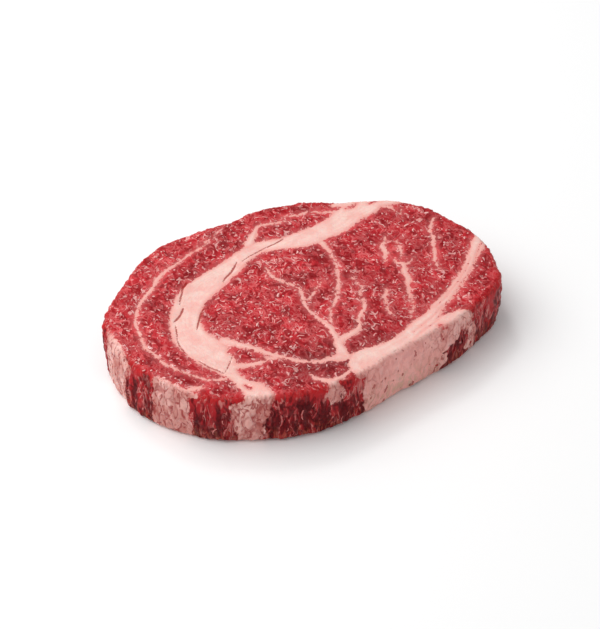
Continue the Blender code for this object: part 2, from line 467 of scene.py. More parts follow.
def strip(shell, area, upper, lower, row=0):
    """Join two closed loops of the same count, the upper loop inside or above the lower one."""
    start = np.arange(len(upper))
    columns = np.stack([start, start, start + 1, start + 1], 1)
    rows = np.array([row, row + 1, row + 1, row])
    shell.lay(area, (upper, lower, np.roll(lower, -1), np.roll(upper, -1)), columns, rows)


def halving_strip(shell, outer, inner):
    """Join a closed loop to one of half its count that lies inside it, with three triangles a step."""
    first, middle, last = outer[0::2], outer[1::2], np.roll(outer, -2)[0::2]
    following = np.roll(inner, -1)
    shell.lay("under", (first, inner, middle))
    shell.lay("under", (middle, inner, following))
    shell.lay("under", (middle, following, last))


def build_shell(shape):
    """Lay out the closed surface: a square grid for the upper face, loops down the rounded rims and
    the side, and loops with fewer points towards the middle of the underside."""
    shell = Shell(shape)
    top, rim, foot = shape.thickness, shape.rim_top, shape.rim_bottom
    across = np.linspace(-1, 1, FACE_ACROSS + 1)
    up = np.linspace(-1, 1, FACE_UP + 1)
    grid_across, grid_up = np.meshgrid(across, up, indexing="ij")
    heading, share = square_to_disc(grid_across, grid_up)
    face = shell.add(heading, share, rim, top, 90.0).reshape(heading.shape)
    shell.lay("face", (face[:-1, :-1], face[1:, :-1], face[1:, 1:], face[:-1, 1:]))
    edge = np.concatenate([face[-1, :-1], face[::-1, -1][:-1], face[0, ::-1][:-1], face[:-1, 0]])
    loop_heading = shell.parts[0][edge, 0]
    rim_length = math.pi / 2 * rim
    foot_length = math.pi / 2 * foot
    side_length = top - rim - foot
    run = np.linspace(0, rim_length + side_length + foot_length, SIDE_LEVELS + 1)[1:]
    upper = edge
    for row, distance in enumerate(run):
        if distance < rim_length:
            turn = distance / rim
            inset, height = rim * (1 - math.sin(turn)), top - rim * (1 - math.cos(turn))
            lean = 90 - math.degrees(turn)
        elif distance < rim_length + side_length:
            inset, height, lean = 0.0, top - rim - (distance - rim_length), 0.0
        else:
            turn = min((distance - rim_length - side_length) / foot, math.pi / 2)
            inset, height = foot * (1 - math.cos(turn)), foot * (1 - math.sin(turn))
            lean = -math.degrees(turn)
        lower = shell.add(loop_heading, 1.0, inset, height, lean)
        strip(shell, "side", upper, lower, row)
        upper = lower
    reach = np.linspace(1, 0, UNDER_RINGS + 1)[1:-1]
    for step in HALVING_STEPS:
        loop_heading = loop_heading[::2]
        lower = shell.add(loop_heading, 1.0 - step / UNDER_RINGS, foot, 0.0, -90.0)
        halving_strip(shell, upper, lower)
        upper = lower
    for share in reach:
        lower = shell.add(loop_heading, share, foot, 0.0, -90.0)
        strip(shell, "under", upper, lower)
        upper = lower
    middle = shell.add(0.0, 0.0, foot, 0.0, -90.0)
    shell.lay("under", (upper, middle, np.roll(upper, -1)))
    shell.edge, shell.run = edge, np.concatenate([[0], run])
    return shell


def flat_map(shell, points):
    """Place of every face corner on the map: the two cut faces lie flat, and the side is unrolled
    into two strips, by distance round the outline and distance down the section."""
    outline = points[np.append(shell.edge, shell.edge[0]), :2] * MM
    round_it = np.concatenate([[0], np.cumsum(np.linalg.norm(np.diff(outline, axis=0), axis=1))])
    half = len(shell.edge) // 2
    flat = (points - BOX_LOW / MM)[:, :2] * MM
    places = []
    for area, corners, columns, rows in shell.laid:
        if area == "side":
            second = columns[:, :1] >= half
            start = np.where(second, round_it[half], 0.0)
            corner = np.where(second[..., None], MAP_SIDES[1], MAP_SIDES[0])
            down = np.broadcast_to(shell.run[rows] * MM, columns.shape)
            run = np.stack([round_it[columns] - start, down], -1)
            places.append(corner + run * MAP_SIDE_REACH)
        else:
            left, bottom, reach = MAP_FACE if area == "face" else MAP_UNDER
            places.append(np.array([left, bottom]) + flat[corners] * reach)
    return np.concatenate([part.reshape(-1, 2) for part in places])


def place_points(shell):
    """Turn the shell's numbers into points in mm, as the CAD solid is made, and stretch them to its
    box. Returns the points, their outward directions, and the stretch as a corner and a scale."""
    heading, share, inset, height, lean = np.vstack(shell.parts).T
    top = shell.shape.thickness
    reach = share * (outline_radius(heading) + side_swell(heading, height / top) - inset)
    angle = np.radians(heading)
    points = np.stack([reach * np.cos(angle), reach * np.sin(angle), height], 1)
    lift = np.clip(1 - (top - height) / shell.shape.rim_top, 0, 1)
    points[:, 2] += lift * face_swell(points[:, 0], points[:, 1])
    low, high = points.min(0), points.max(0)
    stretch = (low, (BOX_HIGH - BOX_LOW) / MM / (high - low))
    points = BOX_LOW / MM + (points - low) * stretch[1]
    tilt = np.radians(lean)
    outward = np.stack([np.cos(tilt) * np.cos(angle), np.cos(tilt) * np.sin(angle), np.sin(tilt)], 1)
    return points, outward, stretch


def band_depth(heading, level, bands, upwards):
    """How deep each side point lies inside the nearest band, in mm along the outline: the smaller of
    the two arcs to the band's edges, which slant from foot to rim. A band also ends at its own
    height, and grows from there upwards or downwards."""
    arc = np.radians(outline_radius(heading))
    depth = np.full(len(heading), -FAR)
    for top_from, top_to, foot_from, foot_to, stop in bands:
        start = foot_from + turn_between(top_from, foot_from) * level
        finish = foot_to + turn_between(top_to, foot_to) * level
        inside = np.minimum(turn_between(heading, start), turn_between(finish, heading)) * arc
        if stop:
            rise = (level - stop) * (1 if upwards else -1)
            inside = np.minimum(inside, rise * (BOX_HIGH[2] - BOX_LOW[2]) / MM)
        depth = np.maximum(depth, inside)
    return depth


def face_fields(points):
    """Fat depth and split depth over the cut faces, from the routes, each place moved a little by
    random steps. The lower face has its own larger steps, so that its seams differ."""
    wander = np.stack([grained(points, 9.0, seed, 2) for seed in (11, 12)], 1)
    lower = np.stack([lumps(points, 24.0, seed) for seed in (15, 16)], 1)
    depth_share = 1 - ease(points[:, 2:3], 2.0, 8.0)
    plan = points[:, :2] + 0.35 * wander + 5.0 * depth_share * lower
    narrow, trim = VEIN_TRIM
    fat = route_depth(plan, FAT_ROUTES)
    fat = fat - trim * ease(narrow - fat, 0.0, narrow)
    fat = np.minimum(fat, -route_depth(plan, LEAN_ROUTES))
    return fat, route_depth(plan, CRACK_ROUTES)


def side_field(heading, level, points):
    """Fat depth down the side, from its bands, with ragged edges."""
    ragged = grained(points, (3.0, 3.0, 6.5), 13, 3)
    fat = band_depth(heading, level, SIDE_FAT, True)
    lean = band_depth(heading, level, SIDE_LEAN, False) + 5.5 * lumps(points, (2.6, 2.6, 3.0), 17) - 1.4
    return np.clip(np.minimum(fat, -lean) + 1.1 * ragged, -FAR, FAR)


def steak_fields(shell, points):
    """What lies where: fat depth, split depth, side share, rim share and tone for every point."""
    heading, share, inset, height, lean = np.vstack(shell.parts).T
    level = np.clip(height / shell.shape.thickness, 0, 1)
    side = ease(90 - lean, 20, 75) * ease(lean + 90, 10, 70)
    fat, split = face_fields(points)
    down = ease(1 - level, 0.05, 0.17) * ease(lean + 90, 5, 60)
    fat = fat * (1 - down) + side_field(heading, level, points) * down
    rim = bell(turn_between(lean, 55), 30) * (share > 0.985)
    smooth = side * bell(turn_between(heading, SMOOTH_SIDE[0]), SMOOTH_SIDE[1])
    tone = np.ones(len(points))
    for x, y, reach, change in TONES:
        tone += (change - 1) * np.exp(-0.5 * ((points[:, 0] - x) ** 2 + (points[:, 1] - y) ** 2) / reach ** 2)
    return {"fat": fat, "split": split, "side": side, "rim": rim, "level": level, "smooth": smooth,
            "tone": tone}


def face_relief(points, fat, split):
    """Fine relief of a cut face in mm: lean swells between bundles, a groove runs along each edge of
    fat, and splits are cut in."""
    lean = ease(-fat, -0.4, 0.8)
    bundles = grained(points, (2.4, 3.0, 5.0), 21, 2)
    height = BUNDLE_HEIGHT * lean * bundles + LUMP_HEIGHT * lumps(points, 9.0, 22)
    return height - GROOVE_DEPTH * bell(fat, 0.6) - SPLIT_DEPTH * ease(split, -0.5, 0.3)


def relief(points, fields):
    """Height of the fine relief in mm, and how deep each point lies in the crevices, which the materials
    darken
    as painted shade: the cut faces have their own relief, and the side is lumpy with upright crevices."""
    side = fields["side"]
    fat = fields["fat"]
    lean = ease(-fat, -0.4, 0.8)
    height = (1 - side) * face_relief(points, fat, fields["split"])
    bend = np.stack([lumps(points, 6.0, seed) for seed in (31, 32, 33)], 1)
    nearest, second = pebbles(points + 1.3 * bend, LOBE_SIZE, 23)
    seamed = np.clip((second - nearest) / CREVICE_WIDTH, 0, 1)
    small_near, small_second = pebbles(points + 0.8 * bend, SMALL_LOBE_SIZE, 24)
    small_seamed = np.clip((small_second - small_near) / CREVICE_WIDTH, 0, 1)
    upright = grained(points + bend, FOLD_SIZE, 25, 2)
    patchy = ease(lumps(points, 7.0, 27), -0.5, 0.5)
    rough = LOBE_HEIGHT * (seamed - 0.7) + SMALL_LOBE_HEIGHT * (small_seamed - 0.6)
    rough = rough * (0.4 + 0.6 * patchy) + FOLD_HEIGHT * upright
    rough = rough * (1 + 0.6 * lean)
    height += side * rough * (1 - 0.88 * fields["smooth"])
    fibre_ends = lumps(points, 1.7, 26) + 0.6 * lumps(points, 0.9, 28)
    height += fields["rim"] * ((0.07 * lean + 0.05) * fibre_ends + 0.20 * (small_seamed - 0.6))
    cavity = side * patchy * ((1 - seamed) * 0.8 + (1 - small_seamed) * 0.35)
    cavity = np.maximum(cavity, side * lean * ease(-upright, 0.35, 1.1))
    cavity = np.maximum(cavity, 0.8 * fields["rim"] * (1 - small_seamed))
    return height, cavity * (1 - 0.9 * fields["smooth"])


# ================================================================ slips of fat
def draws_for(counts, seeds):
    """Even draws from 0 to 1 for every place of a grid, one array for each seed."""
    first, second = np.meshgrid(np.arange(counts[0]), np.arange(counts[1]), indexing="ij")
    cells = np.stack([first.ravel(), second.ravel(), np.zeros(first.size, np.int64)], 1)
    return [corner_values(cells, seed) * 0.5 + 0.5 for seed in seeds], cells


def drawn(limits, draws, power):
    """Sizes between two limits: even draws raised to a power, so that small ones are commoner."""
    low, high = limits
    return low + (high - low) * draws ** power


def drawn_bend(most, draws):
    """Bends either way up to the most, and none so small that the arc's radius runs away."""
    bend = most * (2 * draws - 1)
    return np.where(np.abs(bend) < LEAST_BEND, LEAST_BEND, bend)


def slip_arc(length, bend):
    """Path of each slip: a circular arc of the given length that turns by twice the bend. Returns
    the step along, the step across, the turn and the share of the full thickness at each station,
    which falls to nothing at both ends as the height of a half circle does."""
    share = -np.cos(np.linspace(0, np.pi, SLIP_STATIONS))[None, :]
    turn = bend[:, None] * share
    radius = length[:, None] / 2 / bend[:, None]
    return radius * np.sin(turn), radius * (1 - np.cos(turn)), turn, np.sqrt(1 - share ** 2)


def slip_mesh(path, across, outward, half_width, half_height, taper):
    """Closed slender slips: at each inner station a five-sided oval lies round the path, and both
    ends draw in to a point. Returns points, faces, each point's place between ridge (1) and flank,
    the number of points a slip has, and the corners' places on the map."""
    ring = np.arange(SLIP_SIDES) * 2 * np.pi / SLIP_SIDES
    body = slice(1, -1)
    wide = (half_width[:, None] * taper[:, body])[:, :, None, None] * np.sin(ring)[:, None]
    tall = (half_height * taper[:, body])[:, :, None, None] * np.cos(ring)[:, None]
    skin = path[:, body, None] + wide * across[:, body, None] + tall * outward[:, body, None]
    count, rings = skin.shape[:2]
    each = rings * SLIP_SIDES + 2
    points = np.concatenate([skin.reshape(count, -1, 3), path[:, :1], path[:, -1:]], 1)
    numbers = np.arange(rings * SLIP_SIDES).reshape(rings, SLIP_SIDES)
    turned = np.roll(numbers, -1, 1)
    quads = np.stack([numbers[:-1], numbers[1:], turned[1:], turned[:-1]], -1).reshape(-1, 4)
    first, last = each - 2, each - 1
    start = np.stack([np.full(SLIP_SIDES, first), numbers[0], turned[0]], -1)
    finish = np.stack([np.full(SLIP_SIDES, last), turned[-1], numbers[-1]], -1)
    shift = (np.arange(count) * each)[:, None, None]
    faces = (quads + shift).reshape(-1, 4).tolist()
    faces += (np.vstack([start, finish]) + shift).reshape(-1, 3).tolist()
    crest = np.tile(np.append(np.tile(np.cos(ring), rings), [0.0, 0.0]), count)
    return points.reshape(-1, 3), faces, crest, each, slip_map(count, rings)


def slip_map(count, rings):
    """Place of every slip corner on the map: each slip is unrolled into its own square of a grid,
    by side across and ring upwards, with a margin all round."""
    side, ring = (part.ravel() for part in np.meshgrid(np.arange(SLIP_SIDES), np.arange(rings - 1)))
    quads = np.stack([np.stack([side, side, side + 1, side + 1], 1),
                      np.stack([ring, ring + 1, ring + 1, ring], 1) + 1], -1)
    side = np.arange(SLIP_SIDES)
    low = np.stack([np.stack([side + 0.5, side, side + 1], 1),
                    np.tile([0, 1, 1], (SLIP_SIDES, 1))], -1)
    high = np.stack([np.stack([side + 0.5, side + 1, side], 1),
                     np.tile([1, 0, 0], (SLIP_SIDES, 1)) + rings], -1)
    grid = math.ceil(math.sqrt(count))
    corner = np.stack([np.arange(count) % grid, np.arange(count) // grid], 1)[:, None, None]
    size = np.array([SLIP_SIDES, rings + 1])
    places = [(corner + MAP_MARGIN + (1 - 2 * MAP_MARGIN) * shape / size) / grid
              for shape in (quads, np.concatenate([low, high]))]
    return np.concatenate([part.reshape(-1, 2) for part in places])


def face_level(shape, stretch, points):
    """Height in mm of the finished upper face over each plan place."""
    low, scale = stretch
    raw = low[:2] + (points[:, :2] - BOX_LOW[:2] / MM) / scale[:2]
    top = shape.thickness + face_swell(raw[:, 0], raw[:, 1])
    level = BOX_LOW[2] / MM + (top - low[2]) * scale[2]
    spots = np.column_stack([points[:, :2], level])
    return level + face_relief(spots, *face_fields(spots))


def fleck_slips(shape, stretch):
    """Flecks of marbling on the upper face: one jittered draw in each square of a grid, kept where
    lean lies well clear of the seams and the rim, thicker in random patches."""
    span = (BOX_HIGH - BOX_LOW) / MM
    counts = (int(span[0] / FLECK_GAP), int(span[1] / FLECK_GAP))
    draws, cells = draws_for(counts, range(41, 49))
    x = BOX_LOW[0] / MM + FLECK_GAP * (cells[:, 0] + draws[0])
    y = BOX_LOW[1] / MM + FLECK_GAP * (cells[:, 1] + draws[1])
    place = np.column_stack([x, y, np.full(len(x), shape.thickness)])
    fat, _ = face_fields(place)
    heading = np.degrees(np.arctan2(y, x))
    room = outline_radius(heading) - np.hypot(x, y)
    patchy = 0.62 + 0.35 * lumps(place, 13.0, 51)
    keep = (fat < -FLECK_CLEAR[0]) & (room > FLECK_CLEAR[1]) & (draws[2] < patchy)
    length = drawn(FLECK_LENGTHS, draws[3], 2.4)
    width = drawn(FLECK_HALF_WIDTHS, draws[4], 1.6)
    bend = drawn_bend(FLECK_BEND, draws[5])
    swirl = np.pi * (lumps(place, 16.0, 52) + 0.9 * draws[6])
    place, length, width, bend, swirl, tone = (
        values[keep] for values in (place, length, width, bend, swirl, draws[7]))
    along, sideways, turn, taper = slip_arc(length, bend)
    cosine, sine = np.cos(swirl)[:, None], np.sin(swirl)[:, None]
    path = np.zeros((*along.shape, 3))
    path[..., 0] = place[:, :1] + cosine * along - sine * sideways
    path[..., 1] = place[:, 1:2] + sine * along + cosine * sideways
    path[..., 2] = face_level(shape, stretch, path.reshape(-1, 3)).reshape(along.shape) - FLECK_SINK
    facing = swirl[:, None] + turn
    across = np.stack([-np.sin(facing), np.cos(facing), np.zeros_like(facing)], -1)
    outward = np.broadcast_to(np.array([0.0, 0.0, 1.0]), across.shape)
    points, faces, crest, each, places = slip_mesh(path, across, outward, width, FLECK_HEIGHT, taper)
    return points, faces, places, {"tone": np.repeat(tone, each), "crest": crest}


def strand_slips(shape, stretch):
    """Strands down the side where it is lean: upright slips that lean and bow a little, each laid on
    the side at its own heading and height."""
    middle = (BOX_HIGH - BOX_LOW)[:2].sum() / 4 / MM
    counts = (int(2 * np.pi * middle / STRAND_GAP[0]), int(shape.thickness / STRAND_GAP[1]))
    draws, cells = draws_for(counts, range(61, 69))
    heading = (cells[:, 0] + draws[0]) * 360.0 / counts[0] - 180.0
    level = 0.12 + 0.72 * (cells[:, 1] + draws[1]) / counts[1]
    reach = outline_radius(heading)
    angle = np.radians(heading)
    place = np.stack([reach * np.cos(angle), reach * np.sin(angle), level * shape.thickness], 1)
    patchy = 0.24 + 0.4 * lumps(place, 11.0, 71)
    keep = (side_field(heading, level, place) < -STRAND_CLEAR) & (draws[2] < patchy)
    length = drawn(STRAND_LENGTHS, draws[3], 2)
    width = drawn(STRAND_HALF_WIDTHS, draws[4], 1.5)
    bend = drawn_bend(STRAND_BEND, draws[5])
    tilt = 0.8 * (draws[6] - 0.35)
    heading, level, length, width, bend, tilt, tone = (
        values[keep] for values in (heading, level, length, width, bend, tilt, draws[7]))
    rise, sideways, turn, taper = slip_arc(length, bend)
    cosine, sine = np.cos(tilt)[:, None], np.sin(tilt)[:, None]
    height = level[:, None] * shape.thickness + cosine * rise - sine * sideways
    height = np.clip(height, 0.8, shape.thickness - 2.2)
    arc = sine * rise + cosine * sideways
    facing = heading[:, None] + np.degrees(arc / outline_radius(heading)[:, None])
    low, scale = stretch
    reach = outline_radius(facing) + side_swell(facing, height / shape.thickness)
    angle = np.radians(facing)
    path = np.stack([reach * np.cos(angle), reach * np.sin(angle), height], -1)
    path = BOX_LOW / MM + (path - low) * scale
    outward = np.stack([np.cos(angle), np.sin(angle), np.zeros_like(angle)], -1)
    around = np.stack([-np.sin(angle), np.cos(angle), np.zeros_like(angle)], -1)
    slope = tilt[:, None] + turn
    across = np.array([0.0, 0.0, 1.0]) * np.sin(slope)[..., None] - around * np.cos(slope)[..., None]
    points, faces, crest, each, places = slip_mesh(path, across, outward, width, STRAND_HEIGHT, taper)
    return points, faces, places, {"tone": np.repeat(tone, each), "crest": crest}


# ================================================================ mesh helpers
def new_piece(name, points, faces, places, material):
    """A mesh object from points in mm, lists of corners and the corners' places on its flat map, at
    the origin, smooth shaded."""
    mesh = bpy.data.meshes.new(name)
    mesh.from_pydata((points * MM).tolist(), [], faces)
    mesh.update()
    mesh.shade_smooth()
    flat = mesh.uv_layers.new(name="OFBake")
    flat.data.foreach_set("uv", places.astype(np.float32).ravel())
    mesh.materials.append(material)
    piece = bpy.data.objects.new(name, mesh)
    bpy.context.scene.collection.objects.link(piece)
    return piece


def add_field(piece, name, values):
    """Store one number a point on the mesh, for the materials to read."""
    layer = piece.data.attributes.new(name, "FLOAT", "POINT")
    layer.data.foreach_set("value", np.asarray(values, np.float32))


def claim(piece, *nodes):
    """Hang the piece on the steak's one body, and hide the CAD parts of the nodes it stands for."""
    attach(piece, BODY)
    if nodes:
        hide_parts(*nodes)


# ================================================================ node helpers
class Wiring:
    """Short ways to add nodes to a tree and join them."""

    def __init__(self, tree):
        self.tree = tree

    def add(self, kind, settings=None, **inputs):
        node = self.tree.nodes.new(kind)
        for name, value in (settings or {}).items():
            setattr(node, name, value)
        for name, value in inputs.items():
            self.feed(node.inputs[name.replace("_", " ")], value)
        return node

    def feed(self, socket, value):
        if isinstance(value, bpy.types.NodeSocket):
            self.tree.links.new(value, socket)
        elif isinstance(value, Color):
            socket.default_value = (*value, 1.0)
        else:
            socket.default_value = value

    def math(self, operation, *values, clamp=False):
        node = self.tree.nodes.new("ShaderNodeMath")
        node.operation = operation
        node.use_clamp = clamp
        for socket, value in zip(node.inputs, values):
            self.feed(socket, value)
        return node.outputs[0]

    def step(self, value, low, high, to_low=0.0, to_high=1.0):
        """A soft step between two values."""
        node = self.tree.nodes.new("ShaderNodeMapRange")
        node.interpolation_type = "SMOOTHSTEP"
        for socket, number in zip(node.inputs, (value, low, high, to_low, to_high)):
            self.feed(socket, number)
        return node.outputs[0]

    def mix(self, share, first, second, blend="MIX"):
        node = self.tree.nodes.new("ShaderNodeMix")
        node.data_type = "RGBA"
        node.blend_type = blend
        self.feed(node.inputs[0], share)
        self.feed(node.inputs[6], first)
        self.feed(node.inputs[7], second)
        return node.outputs[2]

    def noise(self, place, scale, detail=2.0, distortion=0.0, roughness=0.5):
        node = self.add("ShaderNodeTexNoise", None, Vector=place, Scale=scale, Detail=detail,
                        Distortion=distortion, Roughness=roughness)
        return node.outputs["Fac"]

    def warp(self, place, scale, amount):
        """The place moved by a slowly changing random step."""
        noise = self.add("ShaderNodeTexNoise", None, Vector=place, Scale=scale, Detail=1.0)
        node = self.add("ShaderNodeVectorMath", {"operation": "MULTIPLY_ADD"})
        for socket, value in zip(node.inputs, (noise.outputs["Color"], (amount,) * 3, place)):
            self.feed(socket, value)
        return node.outputs[0]

    def line(self, value, width, soft):
        """A thin line where a random value crosses one half."""
        away = self.math("ABSOLUTE", self.math("SUBTRACT", value, 0.5))
        return self.step(self.math("SUBTRACT", width, away), -soft, soft)

    def cells(self, place, scale):
        """A scattered cell pattern: distance to the cell's seed, and three even draws for the cell."""
        node = self.add("ShaderNodeTexVoronoi", {"feature": "F1"}, Vector=place, Scale=scale)
        draws = self.add("ShaderNodeSeparateColor", None, Color=node.outputs["Color"])
        return node.outputs["Distance"], draws.outputs

    def walls(self, place, scale, thick):
        """The thin walls between scattered cells."""
        node = self.add("ShaderNodeTexVoronoi", {"feature": "DISTANCE_TO_EDGE"}, Vector=place, Scale=scale)
        return self.step(node.outputs["Distance"], 0.0, thick, 1.0, 0.0)

    def field(self, name):
        return self.add("ShaderNodeAttribute", {"attribute_name": name}).outputs["Fac"]

    def grain_space(self, place, turn, stretch):
        """The place in millimetres, turned about Z and squeezed along each axis."""
        node = self.add("ShaderNodeMapping", {"vector_type": "POINT"}, Vector=place)
        node.inputs["Rotation"].default_value = (0.0, 0.0, math.radians(turn))
        turned = node.outputs[0]
        node = self.add("ShaderNodeMapping", {"vector_type": "POINT"}, Vector=turned)
        node.inputs["Scale"].default_value = tuple(1000.0 * part for part in stretch)
        return node.outputs[0]


def new_group(name, inputs, outputs):
    """A node group with named sockets, each given as (name, socket type)."""
    tree = bpy.data.node_groups.new(name, "ShaderNodeTree")
    for title, kind in inputs:
        tree.interface.new_socket(title, in_out="INPUT", socket_type=kind)
    for title, kind in outputs:
        tree.interface.new_socket(title, in_out="OUTPUT", socket_type=kind)
    wiring = Wiring(tree)
    entry = wiring.add("NodeGroupInput")
    leave = wiring.add("NodeGroupOutput")
    return wiring, entry, leave


FIELDS = ("fat", "split", "side", "rim", "level", "smooth", "tone", "cavity")
FLOAT = "NodeSocketFloat"
COLOUR = "NodeSocketColor"
VECTOR = "NodeSocketVector"


def lean_group(colours):
    """Lean meat: bundles of fibre in three reds with paler walls between them, and marbling as short
    curved threads and flecks. A thread lies where a random height crosses its middle value."""
    wiring, entry, leave = new_group(
        "lean meat", (("Place", VECTOR), ("Side", FLOAT), ("Tone", FLOAT), ("Near", FLOAT)),
        (("Color", COLOUR), ("Height", FLOAT)))
    math_ = wiring.math
    side, near = entry.outputs["Side"], entry.outputs["Near"]
    even = wiring.grain_space(entry.outputs["Place"], 0, (1.0, 0.80, 0.45))
    bent = wiring.warp(even, 0.22, 6.0)
    blotches = wiring.noise(even, 0.10, 2.0)
    patches = wiring.noise(bent, 0.22, 2.0)
    mottle = wiring.noise(bent, 0.50, 3.0)
    fine = wiring.noise(bent, 1.5, 2.0)
    _, draws = wiring.cells(bent, 0.27)
    bundle = math_("ADD", math_("MULTIPLY", draws[0], 0.42), math_("MULTIPLY", patches, 1.1))
    bundle = math_("ADD", bundle, math_("MULTIPLY", math_("SUBTRACT", mottle, 0.5), 1.1))
    colour = wiring.mix(wiring.step(bundle, 0.54, 0.88), colours.lean_dark, colours.lean_mid)
    open_walls = math_("ADD", wiring.step(mottle, 0.44, 0.60), math_("MULTIPLY", near, 0.7), clamp=True)
    walls = math_("MULTIPLY", wiring.walls(bent, 0.27, 0.12), open_walls)
    small_walls = math_("MULTIPLY", wiring.walls(bent, 0.60, 0.20),
                        wiring.step(patches, 0.46, 0.62, 0.1, 0.8))
    cloud = wiring.step(math_("ADD", mottle, math_("MULTIPLY", fine, 0.15)), 0.63, 0.78, 0.0, 0.56)
    light = math_("MAXIMUM", math_("MAXIMUM", walls, small_walls), cloud)
    light = math_("MAXIMUM", light, math_("MULTIPLY", near, 0.55))
    arcs = wiring.line(wiring.noise(bent, 0.36, 2.0), wiring.step(fine, 0.40, 0.62, -0.01, 0.022), 0.014)
    colour = wiring.mix(math_("MULTIPLY", arcs, 0.75), colour, colours.lean_dark)
    colour = wiring.mix(math_("MULTIPLY", light, 0.80), colour, colours.lean_light)
    long_width = wiring.step(wiring.noise(bent, 0.30, 1.0), 0.54, 0.68, -0.012, 0.034)
    threads = wiring.line(wiring.noise(bent, 0.24, 1.0, 0.5), long_width, 0.012)
    short_width = wiring.step(wiring.noise(even, 0.36, 1.0), 0.56, 0.68, -0.015, 0.034)
    short = wiring.line(wiring.noise(even, 0.40, 1.0, 0.9), short_width, 0.014)
    away, draws = wiring.cells(bent, 0.40)
    size = wiring.step(draws[1], 0.72, 1.0, 0.0, 0.30)
    flecks = wiring.step(math_("SUBTRACT", size, away), -0.06, 0.10)
    marbling = math_("MAXIMUM", math_("MAXIMUM", threads, short), math_("MULTIPLY", flecks, 0.85))
    marbling = math_("MULTIPLY", marbling, wiring.step(fine, 0.25, 0.50, 0.55, 1.0))
    marbling = math_("MULTIPLY", marbling, math_("SUBTRACT", 1.0, math_("MULTIPLY", side, 0.85)))
    colour = wiring.mix(math_("MULTIPLY", marbling, 0.80), colour, colours.marbling)
    shade = math_("MULTIPLY", wiring.step(blotches, 0.34, 0.66, 0.86, 1.14), entry.outputs["Tone"])
    grey = wiring.add("ShaderNodeCombineColor", None, Red=shade, Green=shade, Blue=shade)
    wiring.feed(leave.inputs["Color"], wiring.mix(1.0, colour, grey.outputs[0], "MULTIPLY"))
    height = math_("ADD", math_("MULTIPLY", bundle, 0.5), math_("MULTIPLY", fine, 0.10))
    height = math_("ADD", height, math_("MULTIPLY", marbling, 0.10))
    wiring.feed(leave.inputs["Height"], height)
    return wiring.tree


def side_lean_group(colours):
    """Lean on the cut side: dark, with upright strands; painted light makes it redder and brighter towards
    the upper rim, and painted shade darkens its hollows.
    """
    wiring, entry, leave = new_group(
        "side lean", (("Place", VECTOR), ("Level", FLOAT), ("Cavity", FLOAT)),
        (("Color", COLOUR), ("Height", FLOAT)))
    math_ = wiring.math
    upright = wiring.grain_space(entry.outputs["Place"], 0, (1.0, 1.0, 0.30))
    bent = wiring.warp(upright, 0.30, 4.0)
    clumps = wiring.noise(bent, 0.28, 3.0)
    strands = wiring.noise(bent, 0.75, 3.0)
    fine = wiring.noise(bent, 2.0, 2.0)
    level = entry.outputs["Level"]
    red = math_("ADD", math_("MULTIPLY", clumps, 0.7), math_("MULTIPLY", strands, 0.5))
    # Painted light: the side turns a lighter red towards the top, and near the top it takes the rim's lit
    # red.
    red = math_("ADD", red, wiring.step(level, 0.55, 1.0, 0.0, 0.22))
    colour = wiring.mix(wiring.step(red, 0.53, 0.74), colours.side_dark, colours.side_red)
    colour = wiring.mix(wiring.step(level, 0.80, 0.98, 0.0, 0.60), colour, colours.rim_lit_red)
    pale = math_("MULTIPLY", wiring.line(wiring.noise(bent, 0.26, 2.0, 0.8), 0.026, 0.024),
                 wiring.step(clumps, 0.42, 0.58))
    thin = wiring.step(math_("ADD", strands, math_("MULTIPLY", fine, 0.4)), 0.86, 1.02)
    pale = math_("MAXIMUM", pale, thin)
    colour = wiring.mix(math_("MULTIPLY", pale, 0.80), colour, colours.side_pale)
    # Painted shade: places deep in the crevices, and low places of the clump noise, are darkened to a
    # near-black red.
    hollow_shade = math_("MAXIMUM", wiring.step(entry.outputs["Cavity"], 0.25, 0.85),
                   wiring.step(clumps, 0.44, 0.30))
    colour = wiring.mix(math_("MULTIPLY", hollow_shade, 0.7), colour, colours.crevice_shade)
    stain = math_("MULTIPLY", wiring.step(level, 0.05, 0.45, 0.45, 0.0), wiring.step(strands, 0.48, 0.62))
    colour = wiring.mix(stain, colour, colours.side_brown)
    wiring.feed(leave.inputs["Color"], colour)
    height = math_("ADD", math_("MULTIPLY", strands, 0.9), math_("MULTIPLY", fine, 0.12))
    wiring.feed(leave.inputs["Height"], height)
    return wiring.tree


